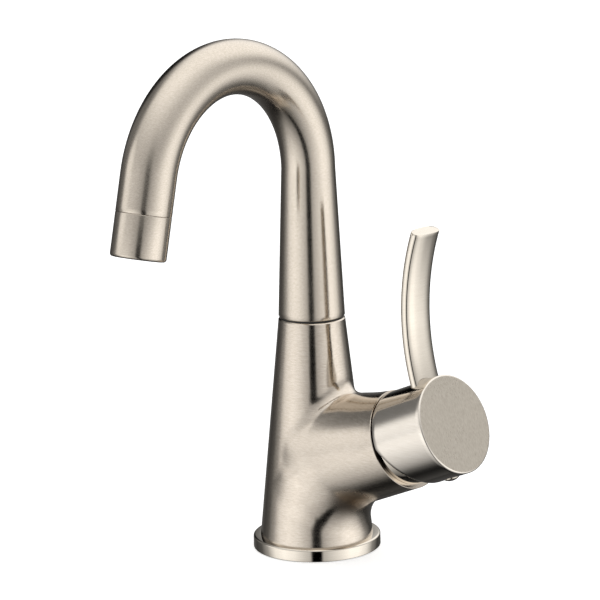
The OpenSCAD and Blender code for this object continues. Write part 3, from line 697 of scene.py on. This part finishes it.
# Aerator
# A turned sleeve screwed into the outlet with a fine seam above it. It holds a flat seal, a
# mesh cup, a plastic jet insert and the dark grid that the water leaves through.
water_way = Vector((0, -math.sin(arch_turn), math.cos(arch_turn)))
outlet_place = Matrix((sideways, water_way.cross(sideways), water_way)).transposed().to_4x4()
outlet_place.translation = (arch_centre + Vector((0, math.cos(arch_turn), math.sin(arch_turn))) * arch_r
                            + water_way * outlet_run)
sleeve_len, sleeve_bore_r, sleeve_lip_r, sleeve_lip_h = 19.7, 9.75, 8.9, 1.8
thread_r, thread_len = 10.95, 6.8
sleeve_round, lip_round, thread_round, sleeve_bore_round = 1.4, 0.5, 0.2, 0.1
sleeve_sides = 144
sleeve_points, sleeve_faces = spun(eased([
    (sleeve_bore_r, -thread_len, thread_round), (thread_r, -thread_len, outlet_edge), (thread_r, 0, 0),
    (tube_r, 0, outlet_edge), (tube_r, sleeve_len, sleeve_round), (sleeve_lip_r, sleeve_len, lip_round),
    (sleeve_lip_r, sleeve_len - sleeve_lip_h, sleeve_bore_round),
    (sleeve_bore_r, sleeve_len - sleeve_lip_h, sleeve_bore_round),
]), sleeve_sides, outlet_place)
sleeve = made("aerator_sleeve_turned", sleeve_points, sleeve_faces, satin_tube)
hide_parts("aerator_sleeve")
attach(sleeve, "spout_body")

# Moulded acetal, pale or dark: a low waxy gloss over the fine grain of the mould
pale_acetal = fine_grained("pale_acetal", "#dcdad3", "#e8e6e0", roughness=0.42, ior=1.48)
dark_acetal = fine_grained("dark_acetal", "#2a2d30", "#36393d", roughness=0.45, ior=1.48)
finished(pale_acetal, "aerator_insert")
finished(dark_acetal, "aerator_screen")
finished(moulded_rubber, "aerator_washer")
finished(stainless_steel, "aerator_strainer")

# Cartridge
# A 35 mm ceramic cartridge stands in the boss: a port plate with seals, two lapped ceramic
# discs, the slide that moves the upper one, and a case clamped by a brass nut.

# Lapped alumina: near white, ground and lapped to a smooth gloss
lapped_ceramic = fine_grained("lapped_ceramic", "#ece9e1", "#f4f2ec", roughness=0.18, ior=1.76)
finished(dark_acetal, "cartridge_base", "guide_collar")
finished(moulded_rubber, "cartridge_seals", "dome_o_ring")
finished(lapped_ceramic, "fixed_disc", "moving_disc")
finished(pale_acetal, "cartridge_housing", "disc_carrier")
finished(stainless_steel, "pivot_pin", "lever_stem")
finished(turned_brass, "cartridge_nut")

# Cover dome
# A pressed and polished brass ring, part of a sphere round the point where the lever tilts,
# so the handle's skirt slides over it. It is pushed on to the nut over a rubber ring.
dome_r, dome_wall, dome_top, dome_lip_r, dome_lip_h = 21.0, 1.3, 12.6, 18.5, 3.9
dome_edge, dome_sides = 0.25, 160
boss_place = Matrix.Rotation(math.pi / 2 - boss_tilt, 4, "Y")
boss_place.translation = rim


def arc(radius, heights):
    """The outline of a sphere round the tilting point, at heights along the boss."""
    return [(math.sqrt(radius**2 - h * h), h) for h in heights]


dome_outline = [(dome_r - dome_edge, 0)]
dome_outline += arc(dome_r, np.linspace(dome_edge, dome_top, 30))
dome_outline += arc(dome_r - dome_wall, np.linspace(dome_top, dome_lip_h, 20))
dome_outline += [(dome_lip_r, dome_lip_h), (dome_lip_r, 0)]
dome_points, dome_faces = spun(dome_outline, dome_sides, boss_place)
dome = made("cover_dome_pressed", dome_points, dome_faces, polished_nickel, corner=40)
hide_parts("cover_dome")
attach(dome, "base")

# Handle hub
# A brass cap turned from bar, with a flat satin face. Its skirt is cut at a slant underneath
# so that it clears the boss when the lever is lifted. A grub screw clamps it on the stem.
hub_r, skirt_r, hub_reach, hub_gap = 23.0, 21.35, 31.4, 1.2
hub_face, hub_edge, skirt_edge, hub_sides = 3.0, 0.7, 0.25, 160
lift = math.radians(joints["handle_lift"]["range_deg"][1])


def hub_ring(radius, height, share=None):
    """A ring round the stem's line, at a height above the skirt's slanted cut. With a share it
    lies that part of the way from the cut up to a level height instead."""
    points = []
    for k in range(hub_sides):
        a = 2 * math.pi * k / hub_sides
        x, y = radius * math.cos(a), radius * math.sin(a)
        slant = hub_gap + max(x, 0) * math.tan(lift)
        z = slant + height if share is None else slant + (height - slant) * share
        points.append(boss_place @ Vector((x, y, z)))
    return points


hub_under, face_r = hub_reach - hub_face, hub_r - hub_edge
# Narrow borders keep the skirt's cut and the face flat to the eye right up to their edges
cut_border, face_border = 0.2, 0.3
# Points on the round edges, each short of the end and back from the side
skirt_short, skirt_back, face_eased = 0.08, 0.07, ((0.4, 0.12), (0.12, 0.4))
hub_rings = [hub_ring(radius, 0) for radius in (skirt_r, skirt_r + cut_border, hub_r - skirt_edge)]
hub_rings += [hub_ring(hub_r - skirt_back, skirt_short), hub_ring(hub_r, skirt_edge)]
hub_rings += [hub_ring(hub_r, hub_reach - hub_edge, share) for share in steps(0, 1, 14)]
hub_rings += [hub_ring(hub_r - back, hub_reach - short, 1) for short, back in face_eased]
hub_rings += [hub_ring(radius, hub_reach, 1) for radius in (face_r, face_r - face_border, 0)]
hub_rings += [hub_ring(radius, hub_under, 1) for radius in (0, skirt_r)]
hub_rings += [hub_ring(skirt_r, hub_under, share) for share in steps(1, 0, 8)[:-1]]
# Nickel on the turned side of the hub: close to a mirror, with faint marks drawn at 0.5 mm
turned_nickel = brushed_metal("turned_nickel_plate", "#ddd5ca", "#e4ddd3", roughness=0.11, grain=0.5,
                              depth=0.05, streak=(0.1, 0.1, 0.7), wear=0.02)
# The flat face is brushed straight down and keeps a dull even satin, drawn at 0.7 mm
brushed_face = brushed_metal("brushed_nickel_face", "#c8bfb1", "#dad2c5", roughness=0.30, grain=0.7,
                             depth=0.02, streak=(1.0, 1.0, 0.2))
hub = made("handle_hub_turned", [p for ring in hub_rings for p in ring],
           rings_joined(len(hub_rings), hub_sides), turned_nickel)
hub.data.materials.append(brushed_face)
face_from = boss_place @ Vector((0, 0, hub_reach - skin_deep)) * MM
for polygon in hub.data.polygons:
    if (polygon.center - face_from).dot(boss_way) > 0:
        polygon.material_index = 1
# The hole for the index plug, in the underside of the skirt
plug_s, plug_hole_r = 19.6, 3.45
drill_start, drill_end = (boss_place @ Vector((r, 0, plug_s)) for r in (skirt_r - past, hub_r + past))
drilled(hub, [(drill_start, drill_end, plug_hole_r)])
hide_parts("handle_hub")
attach(hub, "handle")
finished(stainless_steel, "handle_set_screw")

# Index plug
# A small polished button pushed into the underside of the hub, over the grub screw. It is
# bare: no red and blue marks show.
plug_r, plug_back, plug_side, plug_end, plug_cap, plug_sides = 3.4, 20.75, 22.95, 24.2, 6.0, 48
plug_place = boss_place @ Matrix.Translation((0, 0, plug_s)) @ Matrix.Rotation(math.pi / 2, 4, "Y")
plug_outline = [(0, plug_back), (plug_r, plug_back), (plug_r, plug_side)]
plug_outline += [(r, plug_end - plug_cap + math.sqrt(plug_cap**2 - r * r)) for r in (3.2, 2.6, 1.8, 0.9, 0)]
plug_points, plug_faces = spun(plug_outline, plug_sides, plug_place)
plug = made("index_plug_button", plug_points, plug_faces, polished_nickel)
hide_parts("index_plug")
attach(plug, "handle")

# Lever blade
# A flat oval brass bar bent to one easy curve, polished and nickel plated, cut off square at
# the tip and screwed into the top of the hub by a stud.
lever_len, lever_w, lever_t, lever_bend = 70.6, 17.4, 6.4, 111.0
lever_lean, blade_s, blade_square = math.radians(5.8), 22.0, 2.8
blade_root, tip_edge, blade_sides = 2.2, 0.3, 72
blade_centre = Vector((-hub_r, 0, blade_s))
blade_centre += Vector((math.sin(lever_lean), 0, math.cos(lever_lean))) * lever_bend


def blade_ring(length, size=1.0):
    """A ring of the blade's oval section, at a length along its curve from the hub's side."""
    lean = lever_lean + length / lever_bend
    inward = Vector((math.sin(lean), 0, math.cos(lean)))
    middle = blade_centre - inward * lever_bend
    ring = []
    for k in range(blade_sides):
        a = 2 * math.pi * k / blade_sides
        # The power makes the oval fuller at its corners than an ellipse
        on_circle = (math.sin(a), math.cos(a))
        thick, wide = (math.copysign(abs(c) ** (2 / blade_square), c) * size / 2 for c in on_circle)
        ring.append(boss_place @ (middle + inward * (thick * lever_t) + Vector((0, wide * lever_w, 0))))
    return ring


blade_rings = [blade_ring(-blade_root, size) for size in (0, 0.5, 1.0)]
blade_rings += [blade_ring(length) for length in steps(-blade_root, lever_len - tip_edge, 60)]
# The tip's edge is just broken, and its end is flat
blade_rings += [blade_ring(lever_len - tip_edge / 3, 0.985)]
blade_rings += [blade_ring(lever_len, size) for size in (0.95, 0.7, 0.35, 0)]
blade = made("lever_blade_bent", [p for ring in blade_rings for p in ring],
             rings_joined(len(blade_rings), blade_sides, closed=False), polished_nickel)
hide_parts("lever_blade")
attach(blade, "handle")
